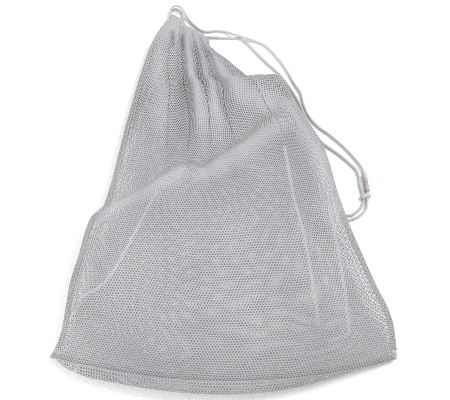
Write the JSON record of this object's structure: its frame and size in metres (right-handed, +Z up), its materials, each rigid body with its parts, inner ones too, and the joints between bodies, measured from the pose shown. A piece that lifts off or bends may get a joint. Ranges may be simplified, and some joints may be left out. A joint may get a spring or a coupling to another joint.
{
  "type": "net drawstring wash bag",
  "caption": "White net wash bag lying full on its back, with a gathered drawstring mouth, inside seam strips and a knotted cord with a small sleeve.",
  "frame": {"origin": "middle of the bag's box at the surface it lies on, without the cord", "axes": "+Z up from the surface, +Y along the bag from the bottom seam to the neck, +X to the right seen from the bottom seam"},
  "size_m": [0.423, 0.561, 0.1044],
  "materials": {
    "net": "white polyester net, open weave",
    "seam": "white net in several layers, overlocked",
    "cord": "white braided polyester cord",
    "sleeve": "blush tinted soft plastic tube"
  },
  "bodies": {
    "root": {"front_panel": "net", "back_panel": "net", "left_side_seam": "seam", "right_side_seam": "seam", "bottom_seam": "seam", "mouth_casing": "seam", "casing_cord": "cord", "outer_strand": "cord", "inner_strand": "cord", "cord_sleeve": "sleeve", "cord_knot": "cord", "left_tail": "cord", "right_tail": "cord"}
  },
  "joints": []
}
